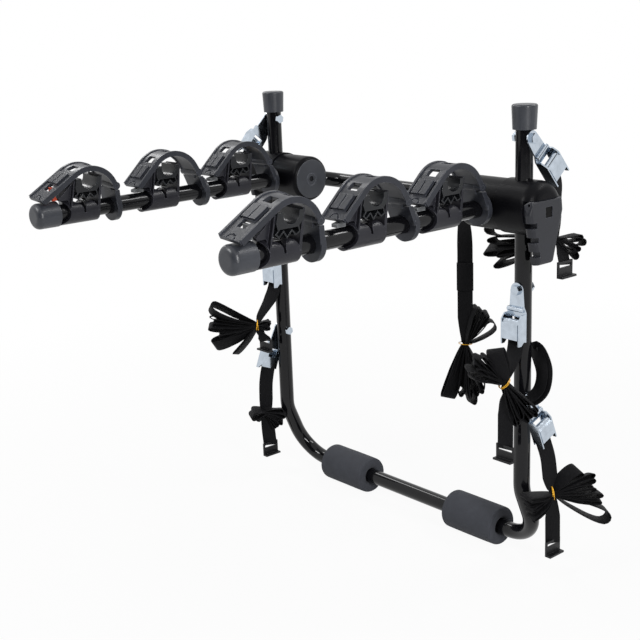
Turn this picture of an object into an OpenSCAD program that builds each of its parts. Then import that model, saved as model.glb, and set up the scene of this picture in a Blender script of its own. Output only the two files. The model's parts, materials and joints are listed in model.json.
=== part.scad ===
/* [Tubes] */
// Outside diameter of the steel tube of the frame and the arms
tube_d = 25.4; // [22:0.1:28]
// Wall of the steel tube
tube_wall = 1.5; // [1:0.1:2.5]

/* [Lower frame] */
// Distance between the axes of the two uprights
frame_w = 560; // [500:1:640]
// Height of the uprights' top ends above the axis of the lower bar
upright_top = 676; // [660:1:760]
// How far the lower bar stands towards the car from the uprights
kick = 43; // [36:1:60]
// Slope of the legs between the uprights and the lower bar
kick_angle = 23; // [20:0.5:28]
// Bend radius where an upright turns into its sloping leg
kick_r = 60; // [45:1:70]
// Bend radius of the frame's two lower corners
corner_r = 60; // [45:1:70]
// Diameter of the foam bumper pads
pad_d = 64; // [50:1:80]
// Length of a foam bumper pad
pad_len = 104; // [90:1:124]
// Free length of bar between the two pads
pad_gap = 200; // [150:1:200]
// Rounding of the pads' ends
pad_round = 4; // [1:0.5:8]

/* [Upright caps] */
// Diameter of an upright's cap at its top
cap_top_d = 37; // [34:0.5:37]
// Diameter of an upright's cap at its lower rim
cap_base_d = 34; // [31:0.5:38]
// Height of an upright's cap
cap_len = 35; // [25:1:38]
// Thickness of the cap above the tube's end
cap_roof = 5; // [3:0.5:8]

/* [Hubs] */
// Height of the arms' pivot axis above the lower bar
hub_z = 536; // [520:1:545]
// Diameter of the fixed hub housings
hub_d = 80; // [78:1:84]
// How far a housing reaches inwards from its upright's axis
hub_inset = 25; // [22:1:30]
// How far a housing reaches outwards from its upright's axis
hub_out = 42; // [38:1:50]
// Rounding of a housing's outer end
hub_round = 18; // [12:1:22]
// Diameter of the turning hub barrels
barrel_d = 76; // [70:1:78]
// Length of a turning hub barrel
barrel_len = 68; // [62:1:80]
// Rounding of a barrel's inner end
barrel_round = 7; // [3:1:12]
// Thickness of the friction washer between housing and barrel
washer_t = 1.5; // [1:0.1:3]
// Diameter of the pivot bolts
pivot_d = 10; // [8:0.5:12]

/* [Hub levers] */
// Thickness of a lever
lever_t = 13; // [12:0.5:15]
// Height of a lever's top edge above the pivot axis
lever_top = 15; // [12:1:18]
// How far a lever reaches below the pivot axis
lever_drop = 80; // [70:1:95]
// Width of a lever at the level of the pivot axis
lever_w = 76; // [70:1:80]
// Width of a lever at its tip
lever_tip_w = 40; // [30:1:50]
// Diameter of the lever's pin
lever_pin_d = 4; // [3:0.5:5]

/* [Arms] */
// Distance of an arm's axis inwards from its upright's axis
arm_inset = 42; // [40:1:46]
// Length of an arm tube forwards from the pivot axis
arm_reach = 494; // [488:1:540]
// How far the arm tubes and the rear loop reach into the hub behind the pivot axis
arm_seat = 14; // [12:1:18]
// Distance of the rear cross bar behind the pivot axis
loop_back = 90; // [86:1:110]
// Downward slope of the rear loop
loop_angle = 12; // [8:1:16]
// Radius of the arms' corner bends
arm_corner_r = 40; // [32:1:44]
// Diameter of an arm's end cap
end_cap_d = 39; // [34:0.5:40]
// Length of an arm's end cap
end_cap_len = 38; // [34:1:38]
// Thickness of an end cap in front of the tube
end_cap_nose = 6; // [4:0.5:12]
// Rounding of an end cap's nose
end_cap_round = 9; // [6:0.5:12]

/* [Cradles] */
// Distance of the outermost cradle from the pivot axis
cradle_first = 421; // [419:1:423]
// Distance between neighbouring cradles
cradle_pitch = 146; // [144:0.5:147]
// How far the outermost cradles are turned on their arms
cradle_roll = 4; // [0:1:6]
// Length of a cradle's sleeve along its flanks
sleeve_len = 50; // [48:1:52]
// Diameter of a cradle's sleeve
sleeve_d = 37; // [35:0.5:38]
// How far the sleeve's upper and lower lips stand in front of its flanks
sleeve_lip = 13; // [10:0.5:13]
// Radius of the scoop between the two lips
scoop_r = 18; // [17:0.5:20]
// Radius of the two scallops on each flank
scallop_r = 10.5; // [9:0.5:11]
// Width of a cradle's front and rear walls
wall_w = 36; // [30:1:38]
// Thickness of a cradle's front and rear walls
wall_t = 2.6; // [2:0.1:3]
// Height of the cradle's front wall above the arm's axis
wall_top = 49; // [46:0.5:50]
// Radius of the seat for a bicycle's top tube
seat_r = 12.8; // [12:0.1:13]
// Height of the seat's lowest point above the arm's axis
seat_floor = 35.5; // [34.5:0.5:36]
// Width of a soft seat across the arm
liner_w = 40; // [36:1:42]
// Thickness of the folded web under a soft seat
fold_t = 1.8; // [1.4:0.1:2.2]

/* [Cradle straps] */
// Width of a cradle strap
strap_w = 45; // [42:1:45]
// Thickness of a strap between its rims
strap_web = 5; // [4:0.5:6]
// Thickness of a strap's side rims
strap_rim = 8; // [6:0.5:9]
// Width of a strap's side rims
rim_w = 4; // [3:0.5:5]
// Height of the outermost strap's arch above the arm's axis
arch_rise = 66; // [65:0.5:70]
// Radius of the strap's arch
arch_r = 46; // [42:1:46]
// Distance of the arch's centre behind the cradle's centre
arch_back = 8; // [6:0.5:9]
// Forward reach of the outermost strap's tab from the cradle's centre
tab_reach = 70; // [68:0.5:72]
// Height of the tab's end above the arm's axis
tab_rise = 25; // [25:0.5:28]
// How much further back the straps of the inner cradles are hooked
strap_notch = 21; // [19:0.5:21]
// Distance of the outermost strap's ring behind the cradle's centre
ring_back = 57; // [56:0.5:58]
// Diameter of the strap's ring round the arm
ring_d = 48; // [44:1:48]
// Thickness of the strap's ring
ring_t = 8; // [6:0.5:8]
// Height of the strap's hinge above the arm's axis
hinge_rise = 34; // [33:0.5:35]
// How far the outermost strap's hinge stands in front of its ring
hinge_lean = 4; // [2:0.5:4]
// Diameter of the strap's hinge eyes
eye_d = 12; // [10:0.5:13]
// Diameter of the strap's hinge trunnions
trunnion_d = 6; // [5:0.5:7]

/* [Buckles] */
// Height of the upper strap bolts above the lower bar
bolt_z_upper = 634; // [632:1:640]
// Height of the middle strap bolts above the lower bar
bolt_z_middle = 416; // [400:1:430]
// Height of the lower strap bolts above the lower bar
bolt_z_lower = 250; // [235:1:260]
// Diameter of the strap bolts
strap_bolt_d = 8; // [6:0.5:8]
// Width of a buckle
buckle_w = 34; // [32:0.5:34]
// Thickness of a buckle's sheet metal
buckle_t = 2.2; // [1.5:0.1:2.5]
// Length of a buckle below its bolt
buckle_len = 80; // [74:1:84]
// Depth of a buckle's side cheeks
buckle_depth = 17; // [15:0.5:18]
// Diameter of the toothed cam roller
cam_d = 10; // [8:0.5:11]
// Diameter of the cam's pin
cam_pin_d = 5; // [4:0.5:6]

/* [Webbing] */
// Width of the webbing
web_w = 25; // [20:0.5:26]
// Thickness of the webbing
web_t = 1.6; // [1.2:0.1:2]
// Thickness of the flat strap hooks
hook_t = 3; // [2:0.5:4]

/* [Hidden] */
$fn = 48;
SIDES = ["left", "right"];
ROWS = [1, 2, 3];
STRAPS = ["upper_left", "middle_left", "lower_left", "upper_right", "middle_right", "lower_right", "tie"];
BUCKLES = ["upper_left", "middle_left", "lower_left", "upper_right", "middle_right", "lower_right"];

// Clearances: a seated fit, a running fit round a shaft, and a gap between moving faces
fit = 0.1;
run_fit = 0.06;
run_gap = 0.3;
cut = 1;

// Places that follow from the driving sizes
tube_r = tube_d / 2;
up_x = frame_w / 2;
arm_x = up_x - arm_inset;
leg_top = (kick - kick_r * (1 - cos(kick_angle))) / sin(kick_angle);
upright_base = leg_top * cos(kick_angle) + kick_r * sin(kick_angle);
hub_r = hub_d / 2;
barrel_r = barrel_d / 2;
barrel_start = hub_inset + washer_t + run_gap;
barrel_end = barrel_start + barrel_len;
nut_t = 6.5;
nut_af = 15;
nut_sink = 9;
head_x = 18;
head_t = 6;
lever_edge_r = 5.5;
lever_pin_x = hub_out - lever_edge_r;
lever_pin_z = lever_top - lever_edge_r;
knuckle_r = 4;
knuckle_w = 24;
loop_start = tube_r * tan(loop_angle) + run_gap;
loop_leg = (loop_back - arm_seat) / cos(loop_angle) - arm_corner_r;
sleeve_r = sleeve_d / 2;
seat_at = [-7, seat_floor + seat_r];
neck_u = sleeve_len / 2 + 16;
catch_w = 11;
block_u = 31;
cam_y = buckle_t + 3.4 + cam_d / 2;
cam_z = 46;

// Tilt of each buckle on its bolt
upper_tilt = -40;
middle_tilt = 0;
lower_tilt = -22;

// Places of the strap bolts: side, height, whether the buckle faces the front, tilt
function bolt_of(name) =
    name == "upper_left" ? [-1, bolt_z_upper, false, upper_tilt] :
    name == "middle_left" ? [-1, bolt_z_middle, true, middle_tilt] :
    name == "lower_left" ? [-1, bolt_z_lower, false, lower_tilt] :
    name == "upper_right" ? [1, bolt_z_upper, false, upper_tilt] :
    name == "middle_right" ? [1, bolt_z_middle, true, middle_tilt] :
    [1, bolt_z_lower, false, lower_tilt];

// Routes of the webbing from each buckle to its hook, chosen by hand
function route_of(name) =
    name == "upper_left" ?
        [[-296, -82, 588], [-296, -93, 574], [-298, -99, 563], [-300, -105, 553], [-300, -116, 546],
         [-300, -132, 541]] :
    name == "middle_left" ?
        [[-280, -59, 356], [-280, -59, 338], [-281, -70, 314], [-284, -92, 286], [-285, -98, 268],
         [-284, -92, 250], [-283, -84, 236]] :
    name == "lower_left" ?
        [[-296, -66, 194], [-296, -73, 176], [-298, -77, 150], [-299, -78, 120], [-299, -78, 90],
         [-298, -77, 60], [-297, -75, 28]] :
    name == "upper_right" ?
        [[296, -4, 588], [296, 7, 574], [299, 12, 560], [302, 14, 540], [304, 14, 515], [305, 13, 490],
         [311, 9, 468], [317, 5, 448]] :
    name == "middle_right" ?
        [[280, -59, 356], [280, -59, 338], [282, -66, 320], [288, -84, 300], [290, -93, 284],
         [290, -93, 255], [289, -92, 215], [288, -91, 182]] :
    name == "lower_right" ?
        [[296, -20, 194], [296, -13, 176], [303, -10, 150], [312, -15, 120], [318, -18, 98],
         [320, -18, 60], [320, -17, 16]] :
        [[88, 48, 479], [88, 58, 500], [88, 60.5, 513], [88, 61, 520], [88, 60, 525], [88, 57, 529.5],
         [88, 52.5, 532.5], [88, 47, 534], [88, 41.5, 532.5], [88, 37, 529.5], [88, 34, 525], [88, 33, 520],
         [88, 33.5, 513], [88, 36, 500], [88, 42, 480], [88, 44, 440], [88, 44, 380], [88, 44, 320],
         [88, 44, 276]];

// Plan direction of each webbing's width
function width_of(name) =
    name == "middle_left" || name == "middle_right" || name == "tie" ? [1, 0, 0] : [0, 1, 0];

// Hanks: the tied waist, then for each fan its plan angle, pitch, length and end radius
function hank_of(name) =
    name == "upper_left" ? [[-300, -106, 551], [[268, -12, 56, 14], [276, 26, 46, 12]]] :
    name == "middle_left" ? [[-287, -98, 268], [[229, 0, 84, 30], [80, 10, 30, 10]]] :
    name == "lower_left" ? [[-299, -80, 96], [[265, -8, 38, 15], [-6, -20, 34, 14]]] :
    name == "upper_right" ? [[304, 14, 482], [[176, -24, 84, 20], [40, -2, 46, 17]]] :
    name == "middle_right" ? [[289, -95, 286], [[265, 38, 76, 24], [49, -52, 84, 20]]] :
    name == "lower_right" ? [[319, -18, 98], [[70, -3, 90, 22], [270, -16, 58, 18]]] :
    [[88, 44, 276], [[49, -84, 110, 26], [49, 48, 52, 13]]];

waist_h = 7;
band_w = 5;
band_t = 1.6;

function row_y(k) = cradle_first - (k - 1) * cradle_pitch;
function roll_of(k) = k == 1 ? cradle_roll : 0;
function notch_of(k) = k == 1 ? 0 : strap_notch;
function unit(v) = v / norm(v);
function bearing(v) = atan2(v[1], v[0]);

// Inner faces of a cradle's front and rear walls at height v
function front_face(v) = sleeve_len / 2 - wall_t - (v - tube_r) * 0.2;
function rear_face(v) = wall_t - sleeve_len / 2 - (v - tube_r) * 0.13;

// A strap in side view: its ring, hinge, arch, straight slope and tab
function ring_u(k) = -ring_back - notch_of(k);
function hinge_at(k) = [ring_u(k) + hinge_lean + notch_of(k) / 2, hinge_rise];
function arch_c(k) = [-arch_back - 0.4 * notch_of(k), arch_rise - arch_r + 0.17 * notch_of(k)];
function tab_end(k) = [tab_reach - notch_of(k), tab_rise];
function front_turn(k) = let (d = tab_end(k) - arch_c(k)) bearing(d) + acos(arch_r / norm(d));
function back_turn(k) = let (d = hinge_at(k) - arch_c(k)) bearing(d) - acos(arch_r / norm(d));
function slope_deg(k) = 90 - front_turn(k);
function slope_top(k) = arch_c(k) + arch_r * [cos(front_turn(k)), sin(front_turn(k))];
function slope_len(k) = norm(tab_end(k) - slope_top(k));
function slope_at(k, u) = (u - slope_top(k)[0]) / cos(slope_deg(k));
function slope_height(k, u) = slope_top(k)[1] - (u - slope_top(k)[0]) * tan(slope_deg(k));
function slope_point(k, s, rise = 0) =
    slope_top(k) + s * [cos(slope_deg(k)), -sin(slope_deg(k))]
    + rise * [sin(slope_deg(k)), cos(slope_deg(k))];
function arc_points(c, r, from, to, n) =
    [for (i = [0 : n]) c + r * [cos(from + (to - from) * i / n), sin(from + (to - from) * i / n)]];

// A rectangle with round corners, from its lowest corner
module round_rect(w, h, r) {
    translate([r, 0]) square([w - 2 * r, h]);
    translate([0, r]) square([w, h - 2 * r]);
    for (x = [r, w - r])
        for (y = [r, h - r])
            translate([x, y]) circle(r);
}

// Half outline of a round bar from its rounded end at 0 to its flat end
module round_end(r, h, edge) {
    translate([0, edge]) square([r, h - edge]);
    square([r - edge, edge]);
    intersection() {
        translate([r - edge, edge]) circle(edge);
        square([r, edge]);
    }
}

// A cylinder along X or Y
module rod_x(d, from, to) { translate([from, 0, 0]) rotate([0, 90, 0]) cylinder(d = d, h = to - from); }
module rod_y(d, from, to) { translate([0, to, 0]) rotate([90, 0, 0]) cylinder(d = d, h = to - from); }

// Straight and bent lengths of the steel tube
module tube_section() {
    difference() {
        circle(d = tube_d);
        circle(d = tube_d - 2 * tube_wall);
    }
}
module tube(h) { linear_extrude(h) tube_section(); }
module tube_bend(r, angle) { rotate_extrude(angle = angle) translate([r, 0]) tube_section(); }

// Placement at the right side, mirrored for the left
module on_side(s) { mirror([s < 0 ? 1 : 0, 0, 0]) children(); }
module on_hub(s) { on_side(s) translate([up_x, -kick, hub_z]) children(); }
module on_cradle(s, k) {
    translate([s * arm_x, -kick - row_y(k), hub_z]) rotate([0, roll_of(k), 0]) children();
}
// A side outline of a cradle, drawn forwards and upwards, made as wide as w across the arm
module across(w) { rotate([90, 0, -90]) linear_extrude(w, center = true) children(); }
module on_bolt(name) {
    b = bolt_of(name);
    turn = b[2] ? 0 : b[0] * 90;
    translate([b[0] * up_x, -kick, b[1]]) rotate([0, 0, turn]) translate([0, -tube_r, 0])
        rotate([0, b[3], 0]) children();
}

// The frame: uprights, sloping legs and lower bar of one bent tube
module frame_tube() {
    rotate([kick_angle, 0, 0]) {
        translate([corner_r - up_x, 0, 0]) rotate([0, 90, 0]) tube(frame_w - 2 * corner_r);
        for (s = [-1, 1]) on_side(s) {
            translate([up_x - corner_r, 0, corner_r]) rotate([90, 0, 0]) rotate([0, 0, -90])
                tube_bend(corner_r, 90);
            translate([up_x, 0, corner_r]) tube(leg_top - corner_r);
        }
    }
    for (s = [-1, 1]) on_side(s) {
        translate([up_x, kick_r - kick, upright_base]) rotate([90, 0, 90]) rotate([0, 0, 180])
            tube_bend(kick_r, kick_angle);
        translate([up_x, -kick, upright_base]) tube(upright_top - upright_base);
    }
}
module lower_frame() {
    color("#17181a") difference() {
        frame_tube();
        for (s = [-1, 1]) on_hub(s) rod_x(pivot_d + 2 * fit, -tube_d, tube_d);
        for (b = BUCKLES) on_bolt(b) rod_y(strap_bolt_d + 2 * fit, -cut, tube_d + cut);
    }
}
module lower_pad(s) {
    color("#3b3d41") translate([s * (pad_gap + pad_len) / 2, 0, 0]) rotate([0, 90, 0])
        translate([0, 0, -pad_len / 2]) rotate_extrude()
            translate([tube_r + fit, 0]) round_rect(pad_d / 2 - tube_r - fit, pad_len, pad_round);
}

// Rubber caps on the uprights, wider at the top
module upright_caps() {
    edge = 3;
    for (s = [-1, 1])
        color("#3d3e43") translate([s * up_x, -kick, upright_top + cap_roof - cap_len]) difference() {
            rotate_extrude() {
                polygon([[0, 0], [cap_base_d / 2, 0], [cap_top_d / 2, cap_len - edge],
                         [cap_top_d / 2 - edge, cap_len], [0, cap_len]]);
                translate([cap_top_d / 2 - edge, cap_len - edge]) circle(edge);
            }
            translate([0, 0, -cut]) cylinder(d = tube_d + 2 * fit, h = cap_len - cap_roof + cut);
        }
}

// Hub housing on the upright, with the knuckle that carries the lever's pin
module hub_form() {
    translate([hub_out, 0, 0]) rotate([0, -90, 0]) rotate_extrude()
        round_end(hub_r, hub_inset + hub_out, hub_round);
}
module hub_housing(s) {
    face = hub_out - lever_t - run_gap;
    color("#2e2f34") on_hub(s) difference() {
        union() {
            difference() {
                hub_form();
                translate([face, -hub_r - cut, -hub_r - cut])
                    cube([lever_t + hub_out, hub_d + 2 * cut, hub_r + cut + lever_top + run_gap]);
            }
            translate([lever_pin_x, 0, lever_pin_z]) rod_y(2 * knuckle_r, -knuckle_w / 2, knuckle_w / 2);
            translate([face - cut, -knuckle_w / 2, lever_pin_z - knuckle_r])
                cube([lever_pin_x - face + cut, knuckle_w, knuckle_r + 1.5]);
        }
        translate([0, 0, -hub_d]) cylinder(d = tube_d + 2 * fit, h = 2 * hub_d);
        rod_x(pivot_d + 2 * fit, -hub_inset - cut, head_x + cut);
        rod_x(nut_af * 1.3, head_x, face + cut);
        translate([lever_pin_x, 0, lever_pin_z]) rod_y(lever_pin_d + 2 * fit, -knuckle_w, knuckle_w);
    }
}
module friction_washers() {
    for (s = [-1, 1])
        color("#0d0d0e") on_hub(s) difference() {
            rod_x(barrel_d - 6, -hub_inset - washer_t, -hub_inset);
            rod_x(pivot_d * 3, -hub_inset - washer_t - cut, -hub_inset + cut);
        }
}
module pivot_bolts() {
    nut_x = nut_sink - barrel_end - run_gap - nut_t;
    for (s = [-1, 1])
        color("#8e9299") on_hub(s) {
            rod_x(pivot_d, nut_x - 1, head_x + head_t);
            translate([head_x + fit, 0, 0]) rotate([0, 90, 0])
                cylinder(d = nut_af / cos(30), h = head_t, $fn = 6);
            translate([nut_x, 0, 0]) rotate([0, 90, 0]) cylinder(d = nut_af / cos(30), h = nut_t, $fn = 6);
        }
}

// Release lever: a shield that narrows to a tip, with finger slots and a bare square recess
module lever_form() {
    inner = hub_out - lever_t;
    edge = lever_t / 2;
    tip_r = 8;
    hull() {
        translate([lever_pin_x, 0, lever_pin_z])
            rod_y(2 * lever_edge_r, 6 - lever_w / 2, lever_w / 2 - 6, $fn = 32);
        for (y = [-1, 1]) {
            translate([hub_out - edge, y * (lever_w / 2 - edge), -4]) sphere(edge, $fn = 32);
            translate([inner, y * (lever_tip_w / 2 - tip_r), tip_r - lever_drop])
                rotate([0, 90, 0]) cylinder(r = tip_r, h = 1, $fn = 24);
            translate([hub_out - edge, y * (lever_tip_w / 2 - edge - 1), edge + 1 - lever_drop])
                sphere(edge, $fn = 32);
        }
        translate([inner, 2 - lever_w / 2, -4]) cube([1, lever_w - 4, lever_pin_z + 4]);
    }
}
module lever_slots() {
    slot_first = -20;
    slot_pitch = 21;
    for (i = [0 : 2])
        translate([hub_out - 9, -lever_w / 2 + 8 + 5 * i, slot_first - slot_pitch * i])
            cube([24, 17 - 3 * i, 8], center = true);
}
module hub_lever(s) {
    logo = 15;
    inner = hub_out - lever_t;
    color("#34353a") on_hub(s) difference() {
        lever_form();
        lever_slots();
        translate([hub_out - 1.2, 4 - logo / 2, -logo / 2 - 4]) cube([5, logo, logo]);
        translate([lever_pin_x, 0, lever_pin_z]) {
            rod_y(2 * (knuckle_r + run_gap), -knuckle_w / 2 - run_gap, knuckle_w / 2 + run_gap);
            rod_y(lever_pin_d + 2 * run_fit, -lever_w, lever_w);
        }
        translate([inner - cut, -knuckle_w / 2 - run_gap, lever_pin_z - 2 * knuckle_r])
            cube([lever_pin_x - inner + cut, knuckle_w + 2 * run_gap, 4 * knuckle_r]);
    }
}
module lever_pins() {
    for (s = [-1, 1])
        color("#9a9da3") on_hub(s) translate([lever_pin_x, 0, lever_pin_z])
            rod_y(lever_pin_d, 7 - lever_w / 2, lever_w / 2 - 7);
}

// The two arm tubes, and the bent loop behind the hubs that joins them
module arm_tube(s) {
    color("#17181a") difference() {
        translate([s * arm_x, arm_seat - kick, hub_z]) rotate([90, 0, 0]) tube(arm_reach + arm_seat);
        on_hub(s) rod_x(pivot_d + 2 * run_fit, -arm_inset - tube_d, -arm_inset + tube_d);
    }
}
module at_loop() { translate([0, arm_seat - kick, hub_z]) rotate([-loop_angle, 0, 0]) children(); }
module rear_loop() {
    color("#17181a") at_loop() translate([0, loop_leg, 0]) {
        for (s = [-1, 1]) on_side(s) {
            translate([arm_x, 0, 0]) rotate([90, 0, 0]) tube(loop_leg - loop_start);
            translate([arm_x - arm_corner_r, 0, 0]) tube_bend(arm_corner_r, 90);
        }
        translate([arm_corner_r - arm_x, arm_corner_r, 0]) rotate([0, 90, 0])
            tube(2 * (arm_x - arm_corner_r));
    }
}
module hub_barrel(s) {
    color("#303136") difference() {
        on_hub(s) translate([-barrel_end, 0, 0]) rotate([0, 90, 0]) rotate_extrude()
            round_end(barrel_r, barrel_len, barrel_round);
        on_hub(s) {
            translate([-arm_inset, 0, 0]) rod_y(tube_d + 2 * fit, -barrel_d, arm_seat + fit);
            rod_x(pivot_d + 2 * run_fit, -barrel_end - cut, 0);
            rod_x(nut_af * 1.35, -barrel_end - cut, nut_sink - barrel_end);
        }
        at_loop() translate([s * arm_x, 0, 0]) rod_y(tube_d + 2 * fit, loop_start - fit, barrel_d);
    }
}
module arm_end_caps() {
    for (s = [-1, 1])
        color("#37393d") translate([s * arm_x, -kick - arm_reach - end_cap_nose, hub_z]) rotate([-90, 0, 0])
            difference() {
                rotate_extrude() round_end(end_cap_d / 2, end_cap_len, end_cap_round);
                translate([0, 0, end_cap_nose]) cylinder(d = tube_d + 2 * fit, h = end_cap_len);
            }
}

// Cradle: a scooped sleeve with scalloped flanks, two thin walls for the soft seat and a front neck
module sleeve_flanks() {
    half = sleeve_len / 2;
    dip = 5;
    translate([-half, -sleeve_d]) square([2 * half + sleeve_lip, sleeve_d]);
    for (u = [half - scallop_r - 1, -half + scallop_r + 3]) {
        translate([u, dip]) circle(scallop_r);
        translate([u - scallop_r, -cut]) square([2 * scallop_r, dip + cut]);
    }
    translate([half - 2, -cut]) square([sleeve_lip + 2, sleeve_d]);
}
module cradle_base(s, k) {
    half = sleeve_len / 2;
    lip = half + sleeve_lip;
    root = -4;
    rear_top = wall_top + 4;
    neck_v = end_cap_d / 2 + 1.1;
    color("#2b2c30") on_cradle(s, k) difference() {
        union() {
            intersection() {
                rod_y(sleeve_d, -lip, half);
                across(sleeve_d + 2) sleeve_flanks();
            }
            across(wall_w) {
                polygon([[front_face(8), 8], [half, 8], [front_face(wall_top) + wall_t, wall_top],
                         [front_face(wall_top), wall_top]]);
                polygon([[rear_face(root), root], [0.3 - half, root],
                         [rear_face(rear_top) - wall_t, rear_top], [rear_face(rear_top), rear_top]]);
            }
            across(wall_w - 12)
                polygon([[half - 3, 8], [half + 1, neck_v], [neck_u - 1, neck_v], [neck_u, neck_v + 3.5],
                         [half + 8, neck_v + 10.5], [front_face(wall_top) + 1, wall_top - 2]]);
        }
        rod_y(tube_d + 2 * fit, -sleeve_len - sleeve_lip, sleeve_len);
        translate([0, -half - scoop_r, 2.5]) rod_x(2 * scoop_r, -sleeve_d, sleeve_d);
    }
}

// Soft seat: a trough between the two walls, carried on a web that is folded like a W
function fold_line() =
    [[11, seat_floor - 3], [17, 26], [12.5, 22], [5, seat_floor - 7], [-0.5, 20], [-8, seat_floor - 7],
     [-14, 22], [-20.5, 25], [-18.5, seat_floor - 3]];
function mitre(p, i) =
    let (a = unit(p[min(i + 1, len(p) - 1)] - p[min(i, len(p) - 2)]),
         b = unit(p[max(i, 1)] - p[max(i - 1, 0)]),
         n = [-a[1] - b[1], a[0] + b[0]])
    n / (1 + a * b);
module fold_outline() {
    p = fold_line();
    n = len(p) - 1;
    polygon(concat([for (i = [0 : n]) p[i] + mitre(p, i) * fold_t / 2],
                   [for (i = [n : -1 : 0]) p[i] - mitre(p, i) * fold_t / 2]));
}
module cradle_liners(s) {
    low = seat_floor - 4;
    high = wall_top + 3;
    color("#1b1c1e") for (k = ROWS) on_cradle(s, k) across(liner_w) {
        difference() {
            polygon([[front_face(low) - run_gap - 4, low], [front_face(low + 8) - run_gap, low + 8],
                     [front_face(high) - run_gap, high], [rear_face(high) + run_gap, high],
                     [rear_face(low + 8) + run_gap, low + 8], [rear_face(low) + run_gap + 6, low]]);
            translate(seat_at) circle(seat_r);
            translate([seat_at[0] - seat_r, seat_at[1]]) square([2 * seat_r, seat_r]);
        }
        fold_outline();
    }
}

// Ring round the arm behind each cradle, with the trunnions on which the strap swings
module strap_rings() {
    lug_w = strap_w / 2 - 2;
    shoulder = hinge_rise - eye_d / 2 - 2 * run_gap;
    for (s = [-1, 1])
        for (k = ROWS) {
            hinge_u = hinge_at(k)[0] - ring_u(k);
            lean = hinge_u * shoulder / hinge_rise;
            color("#2b2c30") on_cradle(s, k) translate([0, -ring_u(k), 0]) difference() {
                union() {
                    rod_y(ring_d, -ring_t / 2, ring_t / 2);
                    across(strap_w) polygon([[-ring_t / 2, 0], [ring_t / 2, 0], [ring_t / 2 + lean, shoulder],
                                             [lean - ring_t / 2, shoulder]]);
                    across(lug_w)
                        polygon([[lean - ring_t / 2, shoulder - 4], [lean + ring_t / 2, shoulder - 4],
                                 [hinge_u + 4, hinge_rise], [hinge_u - 4, hinge_rise]]);
                    translate([0, -hinge_u, hinge_rise]) {
                        rod_x(eye_d, -lug_w / 2, lug_w / 2);
                        rod_x(trunnion_d, -strap_w / 2, strap_w / 2);
                    }
                }
                rod_y(tube_d + 2 * fit, -4 * ring_t, 4 * ring_t);
            }
        }
}

// Catch in front of each cradle: a post in the outermost strap's slot, a low tongue under the other straps
module strap_catch(s, k) {
    floor_v = end_cap_d / 2 + 1.5;
    low_v = tube_r + 1.3;
    post_t = 5;
    post_u = neck_u + 2;
    top_v = slope_height(k, post_u + post_t / 2);
    on_cradle(s, k) across(catch_w)
        if (k == 1)
            polygon([[neck_u + fit, floor_v], [post_u + post_t, floor_v], [post_u + post_t, top_v],
                     [post_u, top_v], [post_u, floor_v + 6], [neck_u + fit, floor_v + 2]]);
        else
            polygon([[neck_u - 6, low_v], [neck_u + 9, low_v], [neck_u + 9, low_v + 4.5],
                     [neck_u, floor_v - 0.5], [neck_u - 6, floor_v - 0.5]]);
}
module strap_catches() {
    for (k = ROWS) color("#8b8d90") strap_catch(1, k);
    for (k = [2, 3]) color("#8b8d90") strap_catch(-1, k);
}
module strap_catch_red() { color("#b4472e") strap_catch(-1, 1); }

// Strap: a back leg, a round arch and a straight front slope that ends in a finger tab
function strap_line(k, more) =
    concat([hinge_at(k)], arc_points(arch_c(k), arch_r, back_turn(k), front_turn(k), 18),
           [slope_point(k, slope_len(k) + more)]);
function line_normal(p, i) =
    let (a = p[max(i - 1, 0)], b = p[min(i + 1, len(p) - 1)], t = unit(b - a)) [-t[1], t[0]];
module strap_outline(k, t, more = 0) {
    p = strap_line(k, more);
    n = len(p) - 1;
    polygon(concat([for (i = [0 : n]) p[i] + line_normal(p, i) * t / 2],
                   [for (i = [n : -1 : 0]) p[i] - line_normal(p, i) * t / 2]));
}
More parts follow.
